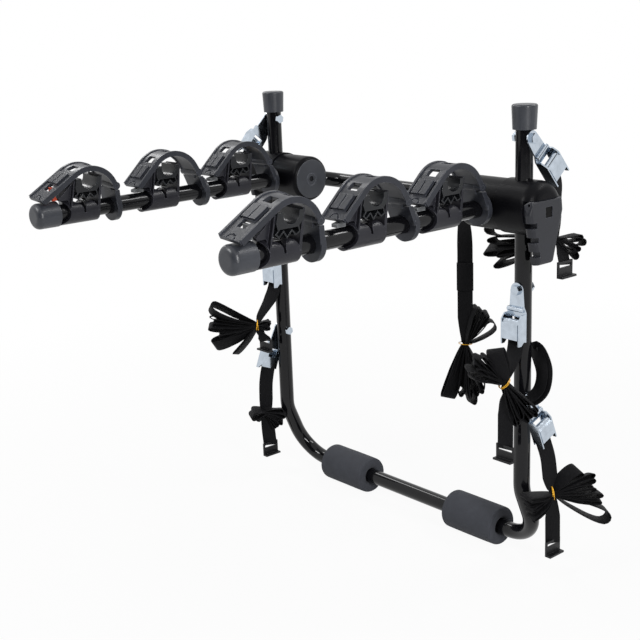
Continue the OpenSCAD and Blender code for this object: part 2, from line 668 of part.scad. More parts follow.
// A cutter or block that lies on the strap's front slope, or on its arch at the given angle
module on_slope(k, s, rise) {
    p = slope_point(k, s, rise);
    translate([0, -p[0], p[1]]) rotate([slope_deg(k), 0, 0]) children();
}
module on_arch(k, angle) {
    c = arch_c(k);
    translate([0, -c[0], c[1]]) rotate([90 - angle, 0, 0]) translate([0, 0, arch_r]) children();
}
module cradle_strap(s, k) {
    lug_w = strap_w / 2 - 2 + 2 * run_gap;
    block = [26, 24];
    block_at = slope_at(k, block_u);
    window = [18, 13];
    slot = [catch_w + 5, 14];
    color("#33343a") on_cradle(s, k) difference() {
        union() {
            across(strap_w - rim_w) strap_outline(k, strap_web, 1.5);
            for (x = [-1, 1])
                translate([x * (strap_w - rim_w) / 2, 0, 0]) across(rim_w) strap_outline(k, strap_rim);
            for (x = [-1, 1])
                translate([x * (block[0] / 4 + 0.5), 0, 0]) on_slope(k, block_at, strap_web / 2 + 1)
                    cube([block[0] / 2 - 1, block[1], 5], center = true);
            translate([0, -hinge_at(k)[0], hinge_rise]) rod_x(eye_d, -strap_w / 2, strap_w / 2);
        }
        translate([0, -hinge_at(k)[0], hinge_rise]) {
            rod_x(trunnion_d + 2 * run_fit, -strap_w, strap_w);
            rod_x(eye_d + 2 * run_gap, -lug_w / 2, lug_w / 2);
            translate([-lug_w / 2, -eye_d / 2 - run_gap, -hinge_rise])
                cube([lug_w, eye_d + 2 * run_gap, hinge_rise]);
        }
        for (x = [-1, 1])
            translate([x * (block[0] / 2 + 2), 0, 0]) on_slope(k, block_at, strap_web / 2)
                cube([3.6, block[1] + 2, 6], center = true);
        if (k == 1)
            on_slope(k, block_at + (block[1] + slot[1]) / 2 + 1, 0)
                cube([slot[0], slot[1], 30], center = true);
        on_slope(k, block_at - (block[1] + window[1]) / 2 - 8.5, 0)
            cube([window[0], window[1], 40], center = true);
        on_arch(k, front_turn(k) + 42) cube([window[0], 8, 30], center = true);
        on_slope(k, slope_len(k) + 0.6, strap_web / 2) difference() {
            cylinder(r = 8.5, h = 3, center = true);
            cylinder(r = 6, h = 4, center = true);
            translate([-20, -40, -5]) cube([40, 40, 10]);
        }
    }
}

// Bolts that hold the buckles to the uprights
module strap_bolts() {
    af = 13;
    head = 5;
    nut = 4.5;
    for (b = BUCKLES)
        color("#c3c8cf") on_bolt(b) {
            rod_y(strap_bolt_d, -buckle_t - fit - head, tube_d + fit + nut);
            translate([0, -buckle_t - 2 * fit, 0]) rotate([90, 0, 0])
                cylinder(d = af / cos(30), h = head, $fn = 6);
            translate([0, tube_d + fit + nut, 0]) rotate([90, 0, 0])
                cylinder(d = af / cos(30), h = nut, $fn = 6);
        }
}

// Cam buckle: an eye plate, a rolled edge and a frame with two cheeks that carries the cam's pin
module buckle_plate() {
    eye_r = 11;
    neck = 26;
    rotate([90, 0, 0]) linear_extrude(buckle_t) difference() {
        union() {
            circle(eye_r);
            polygon([[-eye_r, 0], [eye_r, 0], [neck / 2, -24], [buckle_w / 2, -32],
                     [buckle_w / 2, -buckle_len + 4], [-buckle_w / 2, -buckle_len + 4],
                     [-buckle_w / 2, -32], [-neck / 2, -24]]);
        }
        circle(d = strap_bolt_d + 2 * fit);
        translate([-9, -56]) square([18, 16]);
    }
}
module buckle_frame(name) {
    cheek_top = 34;
    on_bolt(name) translate([0, -fit, 0]) {
        buckle_plate();
        translate([0, -buckle_t - 2, -28]) rod_x(7, -14, 14);
        for (x = [-1, 1])
            translate([x * (buckle_w - buckle_t) / 2, 0, 0]) rotate([90, 0, 90])
                linear_extrude(buckle_t, center = true)
                    polygon([[0, -cheek_top], [-buckle_depth * 0.6, -cheek_top], [-buckle_depth, -cam_z + 4],
                             [-buckle_depth, -buckle_len], [6 - buckle_depth, -buckle_len],
                             [0, 10 - buckle_len]]);
        translate([0, -cam_y, -cam_z])
            rod_x(cam_pin_d, buckle_t / 2 - buckle_w / 2, buckle_w / 2 - buckle_t / 2);
    }
}
module buckle_frames() { for (b = BUCKLES) color("#c3c8cf") buckle_frame(b); }
module buckle_cam(name) {
    w = buckle_w - 2 * buckle_t - 2 * run_gap;
    plate_top = 50;
    plate_end = 71;
    plate_y = -buckle_depth - 1;
    teeth = 9;
    color("#ccd0d6") on_bolt(name) translate([0, -fit, 0]) difference() {
        union() {
            translate([0, -cam_y, -cam_z]) rod_x(cam_d, -w / 2, w / 2);
            rotate([90, 0, 90]) linear_extrude(w, center = true)
                polygon([[-cam_y - 1, -cam_z + 4], [plate_y, -plate_top + 2], [plate_y, -plate_end],
                         [plate_y + 2, -plate_end], [plate_y + 2, -plate_top - 2],
                         [-cam_y - 1, -plate_top]]);
        }
        translate([0, -cam_y, -cam_z]) {
            rod_x(cam_pin_d + 2 * run_fit, -w, w);
            for (i = [0 : teeth - 1])
                rotate([-20 - i * 100 / teeth, 0, 0]) translate([0, cam_d / 2, 0]) rotate([45, 0, 0])
                    cube([2 * w, 0.9, 0.9], center = true);
        }
    }
}

// Flat webbing swept along its route
function tangent(p, i) = unit(p[min(i + 1, len(p) - 1)] - p[max(i - 1, 0)]);
module webbing(name) {
    p = route_of(name);
    n = len(p);
    side = width_of(name);
    corners = [[-1, -1], [1, -1], [1, 1], [-1, 1]];
    points = [for (i = [0 : n - 1])
        let (lift = unit(cross(tangent(p, i), side)), wide = unit(cross(lift, tangent(p, i))))
        for (c = corners) p[i] + c[0] * wide * web_w / 2 + c[1] * lift * web_t / 2];
    walls = [for (i = [0 : n - 2]) for (j = [0 : 3])
        let (a = 4 * i + j, b = 4 * i + (j + 1) % 4)
        for (f = [[a, b, b + 4], [a, b + 4, a + 4]]) f];
    e = 4 * n - 4;
    ends = [[2, 1, 0], [3, 2, 0], [e, e + 1, e + 2], [e, e + 2, e + 3]];
    color("#141416") polyhedron(points, concat(ends, walls), 10);
}

// Hank: the spare webbing folded into fans on both sides of a tied waist
module fan(f, wide, waist) {
    rotate([0, 0, f[0]]) rotate([0, -f[1], 0]) rotate([90, 0, 0]) linear_extrude(wide, center = true) {
        circle(waist);
        polygon([[0, -waist], [f[2] - f[3], -f[3]], [f[2] - f[3], f[3]], [0, waist]]);
        translate([f[2] - f[3], 0]) circle(f[3]);
    }
}
module hank(name) {
    h = hank_of(name);
    color("#141416") translate(h[0]) {
        fan(h[1][0], web_w, waist_h);
        fan(h[1][1], web_w - 2, waist_h - 1);
    }
}

// Flat steel hooks, a plate with a slot and a lip turned over at its lower edge
module strap_hook(name) {
    p = route_of(name);
    side = width_of(name);
    low = p[len(p) - 1];
    plate_w = web_w + 8;
    plate_h = 24;
    lip = 9;
    color("#101113") translate(low) rotate([0, 0, side[1] > 0 ? 90 : 0]) {
        difference() {
            translate([-plate_w / 2, -hook_t / 2, -plate_h + 6]) cube([plate_w, hook_t, plate_h]);
            translate([-web_w / 2 - 1, -hook_t, -3]) cube([web_w + 2, 2 * hook_t, 5]);
        }
        translate([-plate_w / 2, -lip, -plate_h + 6]) cube([plate_w, lip, hook_t]);
    }
}
module strap_hooks() { for (b = BUCKLES) strap_hook(b); }

// Rubber bands round the hanks' waists
module band(name) {
    h = hank_of(name);
    f = h[1][0];
    wide = web_w + 3;
    tall = 2 * waist_h + 4;
    color("#d19a1e") translate(h[0]) rotate([0, 0, f[0]]) rotate([0, -f[1], 0]) rotate([90, 0, 90])
        linear_extrude(band_w, center = true) difference() {
            translate([-wide / 2 - band_t, -tall / 2 - band_t])
                round_rect(wide + 2 * band_t, tall + 2 * band_t, 4);
            translate([-wide / 2, -tall / 2]) round_rect(wide, tall, 3);
        }
}
module rubber_bands() { for (b = BUCKLES) band(b); }

lower_frame();
lower_pad(-1);  // lower_pad_left
lower_pad(1);  // lower_pad_right
upright_caps();
hub_housing(-1);  // hub_housing_left
hub_housing(1);  // hub_housing_right
friction_washers();
pivot_bolts();
hub_lever(-1);  // hub_lever_left
hub_lever(1);  // hub_lever_right
lever_pins();
arm_tube(-1);  // arm_tube_left
arm_tube(1);  // arm_tube_right
rear_loop();
hub_barrel(-1);  // hub_barrel_left
hub_barrel(1);  // hub_barrel_right
arm_end_caps();
for (i = [0, 1]) for (k = ROWS)
    cradle_base(2 * i - 1, k);
for (i = [0, 1])
    cradle_liners(2 * i - 1);
strap_rings();
strap_catches();
strap_catch_red();
for (i = [0, 1]) for (k = ROWS)
    cradle_strap(2 * i - 1, k);
strap_bolts();
buckle_frames();
for (b = BUCKLES) buckle_cam(b);
for (b = STRAPS) webbing(b);
for (b = STRAPS) hank(b);
strap_hooks();
rubber_bands();
band("tie");  // tie_band
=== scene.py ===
"""Dressed scene of the trunk mounted bike rack: materials, webbing, foam, light and camera."""
import json
import math
import random

import bpy
from mathutils import Matrix, Vector


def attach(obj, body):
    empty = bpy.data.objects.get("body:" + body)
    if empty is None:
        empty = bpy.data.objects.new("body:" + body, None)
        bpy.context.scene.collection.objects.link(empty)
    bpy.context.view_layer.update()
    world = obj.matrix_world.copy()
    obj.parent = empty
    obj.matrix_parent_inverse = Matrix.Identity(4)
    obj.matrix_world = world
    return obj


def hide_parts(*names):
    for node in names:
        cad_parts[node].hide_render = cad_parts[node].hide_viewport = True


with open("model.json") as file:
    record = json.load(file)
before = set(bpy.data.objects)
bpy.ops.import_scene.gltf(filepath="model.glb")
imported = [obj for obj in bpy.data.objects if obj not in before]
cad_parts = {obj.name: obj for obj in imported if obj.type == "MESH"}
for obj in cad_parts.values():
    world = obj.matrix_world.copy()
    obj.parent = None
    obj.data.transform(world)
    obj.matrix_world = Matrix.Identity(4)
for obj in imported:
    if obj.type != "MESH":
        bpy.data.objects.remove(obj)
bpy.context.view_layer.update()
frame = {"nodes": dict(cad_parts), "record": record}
nodes = frame["nodes"]
scene = bpy.context.scene
rng = random.Random(11)

SIDES = ("left", "right")
MM = 0.001

# Sizes repeated from the part's source, in millimetres
TUBE_D = 25.4
PAD_D = 64.0
PAD_LEN = 104.0
PAD_GAP = 200.0
WEB_W = 25.0
HUB_Y, HUB_Z = -43.0, 536.0

# The webbing's thickness, a little less here than in the solids
WEB_T = 1.5


# Materials

# Where the noise starts and ends to move the colour and the gloss
COLOR_SPAN = (0.32, 0.68)
GLOSS_SPAN = (0.3, 0.7)
# Agreement of the rounded normal with the true one where the paler edge, partly wear and partly a painted
# highlight, starts and where it is full
WEAR_AND_HIGHLIGHT_SPAN = (0.98, 0.80)
# Moulded pieces: spread of the colour, spread of the gloss, edge radius in millimetres, and how much
# paler an edge is, partly wear and partly a painted highlight
MOULD_SPREAD = 0.12
MOULD_GLOSS = 0.05
EDGE_RADIUS = 1.0
EDGE_WEAR_AND_HIGHLIGHT = 3.4
# Directions and scales of the ribs across the webbing and along it
RIB_SCALES = (("X", 300.0), ("Y", 170.0))


def new_material(name, color, rough, metallic=0.0, specular=0.5, sheen=0.0):
    mat = bpy.data.materials.new(name)
    mat.use_nodes = True
    shader = mat.node_tree.nodes["Principled BSDF"]
    shader.inputs["Base Color"].default_value = (*color, 1.0)
    shader.inputs["Roughness"].default_value = rough
    shader.inputs["Metallic"].default_value = metallic
    shader.inputs["Specular IOR Level"].default_value = specular
    shader.inputs["Sheen Weight"].default_value = sheen
    return mat


def shade(color, factor):
    """A colour made darker or paler, with its alpha."""
    return (*(c * factor for c in color), 1.0)


def object_noise(tree, scale, detail):
    """A noise texture in object space, so the pattern keeps its size on every piece."""
    coords = tree.nodes.new("ShaderNodeTexCoord")
    noise = tree.nodes.new("ShaderNodeTexNoise")
    noise.inputs["Scale"].default_value = scale
    noise.inputs["Detail"].default_value = detail
    tree.links.new(coords.outputs["Object"], noise.inputs["Vector"])
    return noise


def map_range(tree, value, span, low=0.0, high=1.0):
    """A node that maps a value from a span to the range from low to high; returns its result."""
    node = tree.nodes.new("ShaderNodeMapRange")
    node.inputs["From Min"].default_value = span[0]
    node.inputs["From Max"].default_value = span[1]
    node.inputs["To Min"].default_value = low
    node.inputs["To Max"].default_value = high
    tree.links.new(value, node.inputs["Value"])
    return node.outputs["Result"]


def vary(mat, color, rough, spread, gloss_spread, scale):
    """Uneven colour and gloss: a broad noise moves both a little around their mean."""
    tree = mat.node_tree
    shader = tree.nodes["Principled BSDF"]
    noise = object_noise(tree, scale, detail=5.0)
    ramp = tree.nodes.new("ShaderNodeValToRGB")
    dark, light = ramp.color_ramp.elements
    dark.position, light.position = COLOR_SPAN
    dark.color = shade(color, 1 - spread)
    light.color = shade(color, 1 + spread)
    tree.links.new(noise.outputs["Fac"], ramp.inputs["Fac"])
    tree.links.new(ramp.outputs["Color"], shader.inputs["Base Color"])
    gloss = map_range(tree, noise.outputs["Fac"], GLOSS_SPAN, rough - gloss_spread, rough + gloss_spread)
    tree.links.new(gloss, shader.inputs["Roughness"])
    return mat


def add_bump(mat, height, strength, distance):
    tree = mat.node_tree
    bump = tree.nodes.new("ShaderNodeBump")
    bump.inputs["Strength"].default_value = strength
    bump.inputs["Distance"].default_value = distance
    tree.links.new(height, bump.inputs["Height"])
    tree.links.new(bump.outputs["Normal"], tree.nodes["Principled BSDF"].inputs["Normal"])
    return mat


def soft_edges(mat, radius, worn_and_lit):
    """Edges a little round and painted paler, partly as wear and partly as a painted highlight: where the
    rounded normal leaves the true one.
    """
    tree = mat.node_tree
    shader = tree.nodes["Principled BSDF"]
    rounded = tree.nodes.new("ShaderNodeBevel")
    rounded.samples = 6
    rounded.inputs["Radius"].default_value = radius * MM
    true = tree.nodes.new("ShaderNodeNewGeometry")
    agree = tree.nodes.new("ShaderNodeVectorMath")
    agree.operation = "DOT_PRODUCT"
    tree.links.new(rounded.outputs["Normal"], agree.inputs[0])
    tree.links.new(true.outputs["Normal"], agree.inputs[1])
    # The edge colour is painted paler: partly wear, partly a painted highlight along the edge
    paler = tree.nodes.new("ShaderNodeMix")
    paler.data_type = "RGBA"
    tree.links.new(map_range(tree, agree.outputs["Value"], WEAR_AND_HIGHLIGHT_SPAN), paler.inputs["Factor"])
    tree.links.new(shader.inputs["Base Color"].links[0].from_socket, paler.inputs["A"])
    paler.inputs["B"].default_value = worn_and_lit
    tree.links.new(paler.outputs["Result"], shader.inputs["Base Color"])
    for node in tree.nodes:
        if node.type == "BUMP":
            tree.links.new(rounded.outputs["Normal"], node.inputs["Normal"])
    return mat


def moulded(name, color, rough, specular, grain=0.05, scale=500):
    """Moulded plastic or rubber: a fine grain, slightly uneven colour and gloss, and soft edges painted paler
    as wear and as a highlight.
    """
    mat = new_material(name, color, rough, specular=specular)
    vary(mat, color, rough, MOULD_SPREAD, MOULD_GLOSS, scale=40)
    noise = object_noise(mat.node_tree, scale, detail=3.0)
    add_bump(mat, noise.outputs["Fac"], strength=grain, distance=0.0005)
    return soft_edges(mat, EDGE_RADIUS, shade(color, EDGE_WEAR_AND_HIGHLIGHT))


def painted(name, color, rough, specular):
    """Glossy paint on steel tube, with a faint orange peel."""
    mat = new_material(name, color, rough, specular=specular)
    vary(mat, color, rough, spread=0.15, gloss_spread=0.05, scale=25)
    noise = object_noise(mat.node_tree, scale=120, detail=2.0)
    return add_bump(mat, noise.outputs["Fac"], strength=0.012, distance=0.0006)


def plated(name, color, rough, spread, scale):
    """Plated steel: patches of slightly different tone and a rolled surface."""
    mat = new_material(name, color, rough, metallic=1.0)
    vary(mat, color, rough, spread, gloss_spread=0.08, scale=scale)
    noise = object_noise(mat.node_tree, scale=150, detail=3.0)
    return add_bump(mat, noise.outputs["Fac"], strength=0.10, distance=0.0006)


def foam(name, color, rough):
    """Closed-cell foam: small round cells all over."""
    mat = new_material(name, color, rough, specular=0.15, sheen=0.05)
    vary(mat, color, rough, spread=0.10, gloss_spread=0.06, scale=60)
    tree = mat.node_tree
    coords = tree.nodes.new("ShaderNodeTexCoord")
    cells = tree.nodes.new("ShaderNodeTexVoronoi")
    cells.inputs["Scale"].default_value = 700
    tree.links.new(coords.outputs["Object"], cells.inputs["Vector"])
    return add_bump(mat, cells.outputs["Distance"], strength=0.35, distance=0.0006)


def woven(name, color, rough):
    """Webbing: ribs along the strap crossed by the weft, from the ribbon's own coordinates."""
    mat = new_material(name, color, rough, specular=0.10, sheen=0.02)
    tree = mat.node_tree
    shader = tree.nodes["Principled BSDF"]
    coords = tree.nodes.new("ShaderNodeUVMap")
    ribs = tree.nodes.new("ShaderNodeMath")
    ribs.operation = "MULTIPLY"
    for i, (axis, scale) in enumerate(RIB_SCALES):
        wave = tree.nodes.new("ShaderNodeTexWave")
        wave.bands_direction = axis
        wave.inputs["Scale"].default_value = scale
        wave.inputs["Distortion"].default_value = 0.6
        tree.links.new(coords.outputs["UV"], wave.inputs["Vector"])
        tree.links.new(wave.outputs["Fac"], ribs.inputs[i])
    ramp = tree.nodes.new("ShaderNodeValToRGB")
    dark, light = ramp.color_ramp.elements
    dark.color = shade(color, 0.7)
    light.color = shade(color, 1.5)
    tree.links.new(ribs.outputs["Value"], ramp.inputs["Fac"])
    tree.links.new(ramp.outputs["Color"], shader.inputs["Base Color"])
    return add_bump(mat, ribs.outputs["Value"], strength=0.5, distance=0.0004)


MATERIALS = {
    "black_tube": painted("black_tube", (0.004, 0.004, 0.005), 0.13, specular=0.28),
    "foam": foam("foam", (0.052, 0.055, 0.065), 0.8),
    "cap_rubber": moulded("cap_rubber", (0.034, 0.037, 0.045), 0.38, specular=0.42),
    "hub_plastic": moulded("hub_plastic", (0.004, 0.004, 0.005), 0.36, specular=0.07),
    "lever_plastic": moulded("lever_plastic", (0.018, 0.019, 0.024), 0.42, specular=0.3),
    "washer_plastic": moulded("washer_plastic", (0.004, 0.004, 0.004), 0.6, specular=0.1),
    "bolt_steel": plated("bolt_steel", (0.03, 0.031, 0.034), 0.38, spread=0.12, scale=120),
    "zinc": plated("zinc", (0.50, 0.56, 0.63), 0.17, spread=0.10, scale=90),
    "cradle_plastic": moulded("cradle_plastic", (0.018, 0.018, 0.023), 0.33, specular=0.24),
    "seat_rubber": moulded("seat_rubber", (0.010, 0.011, 0.013), 0.28, specular=0.32),
    "strap_rubber": moulded("strap_rubber", (0.026, 0.028, 0.035), 0.36, specular=0.24, grain=0.012,
                            scale=250),
    "catch_grey": moulded("catch_grey", (0.12, 0.125, 0.13), 0.5, specular=0.3),
    "catch_red": moulded("catch_red", (0.40, 0.055, 0.025), 0.46, specular=0.3),
    "webbing": woven("webbing", (0.005, 0.005, 0.006), 0.62),
    "hook_steel": moulded("hook_steel", (0.006, 0.006, 0.007), 0.4, specular=0.3),
    "band_orange": moulded("band_orange", (0.66, 0.34, 0.02), 0.5, specular=0.3),
}

slot_of = {row["node"]: row["material_slot"] for row in frame["record"]["subparts"]}
for name, obj in nodes.items():
    obj.data.materials.clear()
    obj.data.materials.append(MATERIALS[slot_of[name]])


# Rounded edges of the CAD pieces

# Triangles that meet flatter than this are joined, and edges sharper than this are rounded, in degrees
FLAT_ANGLE = 0.5
SHARP_ANGLE = 35.0
# Widths of the rounding in millimetres, for nodes by the start of their names and by the whole name
SOFT_FAMILIES = {
    "hub_housing": 1.6, "hub_barrel": 1.4, "hub_lever": 0.8, "cradle_base": 0.6, "cradle_strap": 0.8,
    "cradle_liners": 0.5, "buckle_cam": 0.5,
}
SOFT_NODES = {
    "strap_rings": 0.8, "strap_catches": 0.5, "strap_catch_red": 0.5, "buckle_frames": 0.4,
    "strap_bolts": 0.4, "pivot_bolts": 0.5, "strap_hooks": 0.5, "upright_caps": 0.8,
}


def soften(obj, width):
    """Rounds the sharp edges of a CAD piece for the picture: flat triangles joined, then a bevel."""
    flat = obj.modifiers.new("flat", "DECIMATE")
    flat.decimate_type = "DISSOLVE"
    flat.angle_limit = math.radians(FLAT_ANGLE)
    bevel = obj.modifiers.new("edge", "BEVEL")
    bevel.width = width * MM
    bevel.segments = 2
    bevel.limit_method = "ANGLE"
    bevel.angle_limit = math.radians(SHARP_ANGLE)
    obj.modifiers.new("shade", "WEIGHTED_NORMAL")


for name, obj in nodes.items():
    for stem, width in SOFT_FAMILIES.items():
        if name.startswith(stem + "_"):
            soften(obj, width)
    if name in SOFT_NODES:
        soften(obj, SOFT_NODES[name])


# Camera

CAMERA_AT = Vector((1.3501, -1.3502, 0.8300))
AZIMUTH, ELEVATION, ROLL = (math.radians(a) for a in (49.4352, 15.1412, -2.2065))
FOCAL_PX = 1178.168
IMAGE_PX = 640.0
SENSOR = 36.0

back = Vector((math.sin(AZIMUTH) * math.cos(ELEVATION), -math.cos(AZIMUTH) * math.cos(ELEVATION),
               math.sin(ELEVATION)))
right = Vector((math.cos(AZIMUTH), math.sin(AZIMUTH), 0.0))
up = back.cross(right)
right_rolled = math.cos(ROLL) * right + math.sin(ROLL) * up
up_rolled = math.cos(ROLL) * up - math.sin(ROLL) * right
camera_data = bpy.data.cameras.new("camera")
camera = bpy.data.objects.new("camera", camera_data)
scene.collection.objects.link(camera)
turn = Matrix((right_rolled, up_rolled, back)).transposed()
camera.matrix_world = Matrix.Translation(CAMERA_AT) @ turn.to_4x4()
camera_data.sensor_width = SENSOR
camera_data.lens = SENSOR * FOCAL_PX / IMAGE_PX
camera_data.clip_start = 0.05
scene.camera = camera


# Mesh helpers

def v3(*p):
    return Vector(p)


def add_object(name, verts, faces):
    mesh = bpy.data.meshes.new(name)
    mesh.from_pydata(verts, [], faces)
    obj = bpy.data.objects.new(name, mesh)
    scene.collection.objects.link(obj)
    return obj


def add_piece(name, verts, faces, slot, body, smooth=True):
    """A piece of the object: a mesh with its material, its slot and the body that it rides on."""
    obj = add_object(name, verts, faces)
    mesh = obj.data
    mesh.validate()
    mesh.update()
    mesh.materials.append(MATERIALS[slot])
    for poly in mesh.polygons:
        poly.use_smooth = smooth
    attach(obj, body)
    return obj


def spline(points, step):
    """Points about a step apart on a smooth curve through the given ones, each with its span and place."""
    out = []
    count = len(points)
    for i in range(count - 1):
        p0 = points[max(i - 1, 0)]
        p1 = points[i]
        p2 = points[i + 1]
        p3 = points[min(i + 2, count - 1)]
        parts = max(2, int(round((p2 - p1).length / step)))
        for j in range(parts):
            t = j / parts
            p = 0.5 * (2 * p1 + (p2 - p0) * t + (2 * p0 - 5 * p1 + 4 * p2 - p3) * t * t
                       + (3 * p1 - p0 - 3 * p2 + p3) * t ** 3)
            out.append((p, i, t))
    out.append((points[-1].copy(), count - 2, 1.0))
    return out


# The webbing's section as shares of its half width and of its thickness: the edges are thinner
WEB_SECTION = ((-1.0, -0.25), (-0.93, -0.5), (0.93, -0.5), (1.0, -0.25), (1.0, 0.25), (0.93, 0.5),
               (-0.93, 0.5), (-1.0, 0.25))
# Distance between a strap's sections in millimetres
WEB_STEP = 4.0


def ribbon(name, points, sides, pinches, body, width=WEB_W, thick=WEB_T):
    """A flat strap through points in millimetres, with its width's direction and share at each point."""
    path = spline(points, WEB_STEP)
    ring = len(WEB_SECTION)
    verts, faces, marks = [], [], []
    length = 0.0
    last = len(path) - 1
    for i, (p, span, t) in enumerate(path):
        side = sides[span].lerp(sides[span + 1], t)
        share = pinches[span] * (1 - t) + pinches[span + 1] * t
        tangent = (path[min(i + 1, last)][0] - path[max(i - 1, 0)][0]).normalized()
        lift = tangent.cross(side)
        if lift.length < 1e-6:
            lift = tangent.orthogonal()
        lift.normalize()
        across = lift.cross(tangent).normalized()
        if i:
            length += (p - path[i - 1][0]).length
        for a, b in WEB_SECTION:
            verts.append((p + across * (a * share * width / 2) + lift * (b * thick)) * MM)
            marks.append((a * width * MM / 2, length * MM))
    for i in range(last):
        for j in range(ring):
            a, b = ring * i + j, ring * i + (j + 1) % ring
            faces.append((a, b, b + ring, a + ring))
    faces.append(tuple(reversed(range(ring))))
    faces.append(tuple(ring * last + j for j in range(ring)))
    obj = add_piece(name, verts, faces, "webbing", body)
    layer = obj.data.uv_layers.new(name="UVMap")
    for loop in obj.data.loops:
        layer.data[loop.index].uv = marks[loop.vertex_index]
    return obj, length * MM


# Foam bumpers: crowned rolls with soft corners, a dished end and a narrow mouth round the bar

# Deepest dents in the foam in millimetres, and how far from the bore they are whole
DENT = 0.12
DENT_FROM_BORE = 8


def foam_roll(side, turns=72):
    """One bumper: a closed profile turned about the bar, with shallow dents."""
    bore = TUBE_D / 2 + 0.2
    outer = PAD_D / 2
    half = PAD_LEN / 2
    profile = [(-half + 16, bore), (-half + 7, bore), (-half + 2.4, bore + 0.6), (-half + 0.8, bore + 2.0),
               (-half + 0.3, bore + 6), (-half + 0.1, outer - 6), (-half + 0.3, outer - 2.6),
               (-half + 1.0, outer - 1.1), (-half + 2.4, outer - 0.35), (-half + 5, outer - 0.1),
               (-half + 20, outer - 0.02), (0, outer)]
    profile += [(-x, r) for x, r in reversed(profile[:-1])]
    centre = (PAD_GAP + PAD_LEN) / 2 * (1 if side == "right" else -1)
    phases = [rng.uniform(0, 2 * math.pi) for _ in range(4)]
    verts, faces = [], []
    for x, r in profile:
        for k in range(turns):
            a = 2 * math.pi * k / turns
            dent = (math.sin(2 * a + phases[0] + x * 0.03) + math.sin(3 * a + phases[1] - x * 0.05)
                    + math.sin(5 * a + phases[2] + x * 0.09) + math.sin(x * 0.11 + phases[3]))
            sunk = r - DENT * max(0.0, dent + 1.0) * min(1.0, max(0.0, (r - bore) / DENT_FROM_BORE))
            verts.append(((centre + x) * MM, sunk * math.cos(a) * MM, sunk * math.sin(a) * MM))
    for i in range(len(profile)):
        j = (i + 1) % len(profile)
        for k in range(turns):
            n = (k + 1) % turns
            faces.append((i * turns + k, i * turns + n, j * turns + n, j * turns + k))
    obj = add_piece("foam_roll_" + side, verts, faces, "foam", "frame")
    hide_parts("lower_pad_" + side)


for side in SIDES:
    foam_roll(side)


# Webbing: the run from each buckle, folded loops of spare length at a tied waist, and the run to the hook

# The fans of loops lie roughly in one upright plane that faces this way
FAN_RIGHT = v3(math.cos(AZIMUTH), math.sin(AZIMUTH), 0.0)
FAN_FRONT = v3(math.sin(AZIMUTH), -math.cos(AZIMUTH), 0.0)
FAN_UP = v3(0, 0, 1)
# Along a loop and across it as shares of its reach and spread, with the share of the width that is unfolded
LOOP_SHAPE = ((0.04, 0.10, 0.5), (0.22, 0.26, 0.76), (0.50, 0.42, 0.97), (0.78, 0.50, 1.0),
              (0.95, 0.38, 1.0), (1.0, 0.0, 1.0))
# How much loops in a fan differ: degrees of angle, tilt and roll, shares of reach and spread
ANGLE_JITTER = 1.5
TILT_JITTER = 5
ROLL_JITTER = 18
REACH_SHARES = (0.80, 1.06)
SPREAD_SHARES = (0.8, 1.2)
# How far a loop bows to each side, in millimetres
BOW = 3
# Width of the webbing in a band, as a share of its full width
TIED = 0.6
# Points at the end of a run that already turn to the free side
TURNING = 4
# Direction of the width in a loop that bulges out of its hank
BULGE_SIDE = (FAN_FRONT * 0.88 + FAN_RIGHT * 0.45).normalized()


def jitter(size):
    return rng.uniform(-size, size)


def fan_axes(angle, tilt):
    """Directions along a loop, across it in the fan's plane, and out of that plane."""
    a, t = math.radians(angle), math.radians(tilt)
    ray = FAN_RIGHT * math.cos(a) + FAN_UP * math.sin(a)
    ahead = ray * math.cos(t) + FAN_FRONT * math.sin(t)
    level = FAN_UP * math.cos(a) - FAN_RIGHT * math.sin(a)
    return ahead, level, ahead.cross(level)


def folded_loop(waist, angle, tilt, reach, spread, roll):
    """One loop from the waist: out, round the fold and back."""
    ahead, level, broad = fan_axes(angle, tilt)
    r = math.radians(roll)
    over = level * math.cos(r) + broad * math.sin(r)
    flat = broad * math.cos(r) - level * math.sin(r)
    bow = flat * jitter(BOW) + over * jitter(BOW)
    whole = list(LOOP_SHAPE) + [(u, -w, p) for u, w, p in reversed(LOOP_SHAPE[:-1])]
    points = []
    for u, w, _ in whole:
        points.append(waist + ahead * (reach * u) + over * (spread * w) + bow * (4 * u * (1 - u)))
    return points, flat, [share for _, _, share in whole]


def fan_loops(first, last, count, tilt, reach, spread):
    """Loops side by side between two angles, each a little different from the next."""
    out = []
    for i in range(count):
        angle = first + (last - first) * i / max(1, count - 1)
        out.append((angle + jitter(ANGLE_JITTER), tilt + jitter(TILT_JITTER),
                    reach * rng.uniform(*REACH_SHARES), spread * rng.uniform(*SPREAD_SHARES),
                    jitter(ROLL_JITTER)))
    return out


def take_turns(one, other):
    """Items of two lists by turns, then what is left of the longer one."""
    out = []
    for i in range(max(len(one), len(other))):
        out += one[i:i + 1] + other[i:i + 1]
    return out


